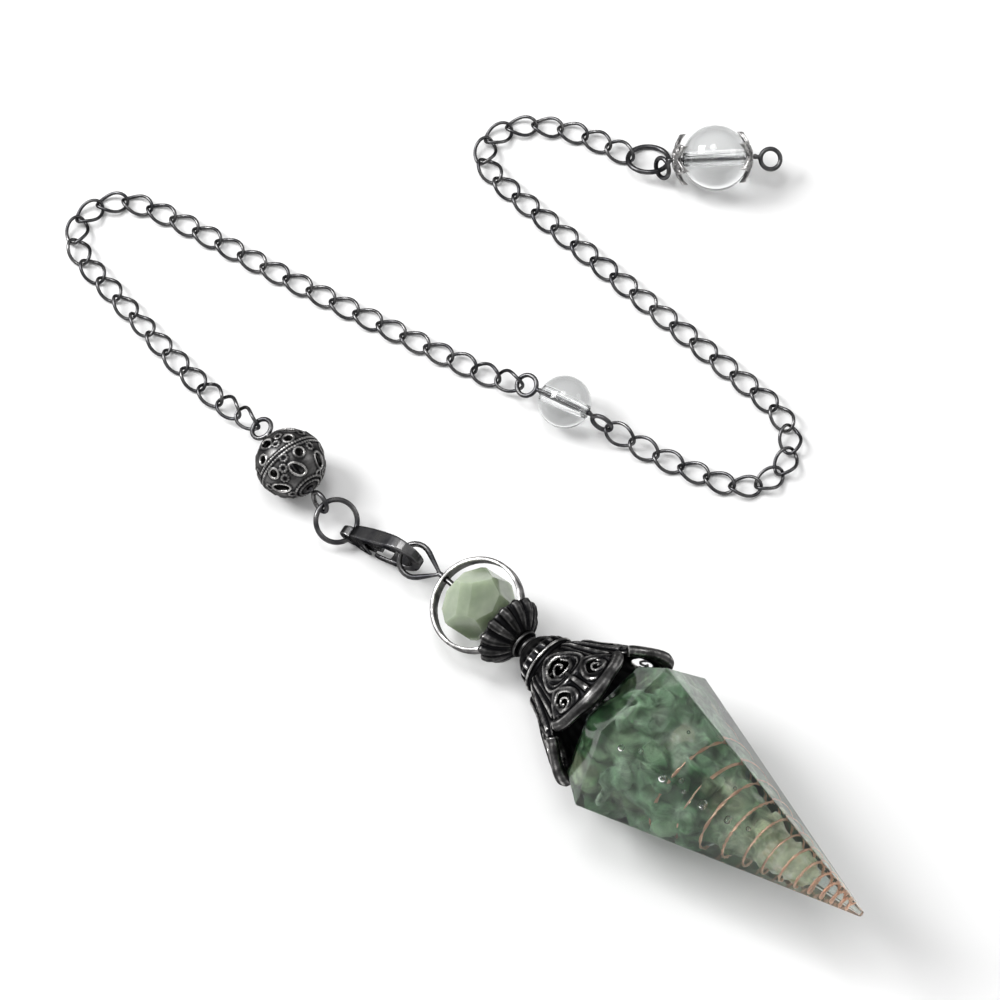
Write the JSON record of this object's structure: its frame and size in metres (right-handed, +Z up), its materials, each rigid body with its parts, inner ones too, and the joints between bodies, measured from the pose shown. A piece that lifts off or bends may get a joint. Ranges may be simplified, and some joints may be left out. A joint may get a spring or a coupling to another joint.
{
  "type": "dowsing pendulum pendant",
  "caption": "Faceted resin point with stone chips and a copper coil, in a filigree cap with a hoop and bead, hung by a lobster clasp on a short chain with round beads",
  "frame": {"origin": "the middle of the laid-out pendulum's box, on the table under it", "axes": "+Z up from the table, +X to the right and +Y away from the viewer as it lies; the resin point's tip is at the lower right"},
  "size_m": [0.0905, 0.1081, 0.0179],
  "materials": {
    "resin": "clear cast resin, polished facets",
    "copper": "copper wire inside the resin",
    "stone": "rough green stone chips",
    "dark_silver": "oxidised cast metal, worn bright on the raised parts",
    "gunmetal": "dark polished plating",
    "bright_silver": "bright silver plating",
    "green_stone": "pale green stone, polished facets",
    "clear_quartz": "clear polished bead"
  },
  "bodies": {
    "pendulum": {"resin_point": "resin", "copper_coil": "copper", "stone_chips": "stone", "filigree_cap": "dark_silver", "neck_spool": "dark_silver", "fluted_cup": "dark_silver", "hoop_ring": "dark_silver", "faceted_bead": "green_stone", "pendant_eye_pin": "gunmetal", "clasp_body": "gunmetal", "clasp_rivet": "gunmetal", "clasp_ring": "gunmetal", "filigree_bead": "dark_silver", "filigree_bead_pin": "gunmetal", "lower_chain": "gunmetal", "small_bead": "clear_quartz", "small_bead_pin": "gunmetal", "upper_chain": "gunmetal", "end_ring": "gunmetal", "large_bead": "clear_quartz", "inner_star_cap": "bright_silver", "outer_star_cap": "bright_silver", "large_bead_pin": "gunmetal"},
    "lever": {"clasp_lever": "gunmetal"}
  },
  "joints": [
    {"name": "clasp_lever_hinge", "type": "hinge", "parent": "pendulum", "child": "lever", "pos_m": [-0.00843, -0.00419, 0.00143], "axis": [-0.5002, -0.8621, -0.0808], "range_deg": [0, 25], "stiffness_Nm_per_rad": 0.004, "springref_deg": -8.59}
  ]
}
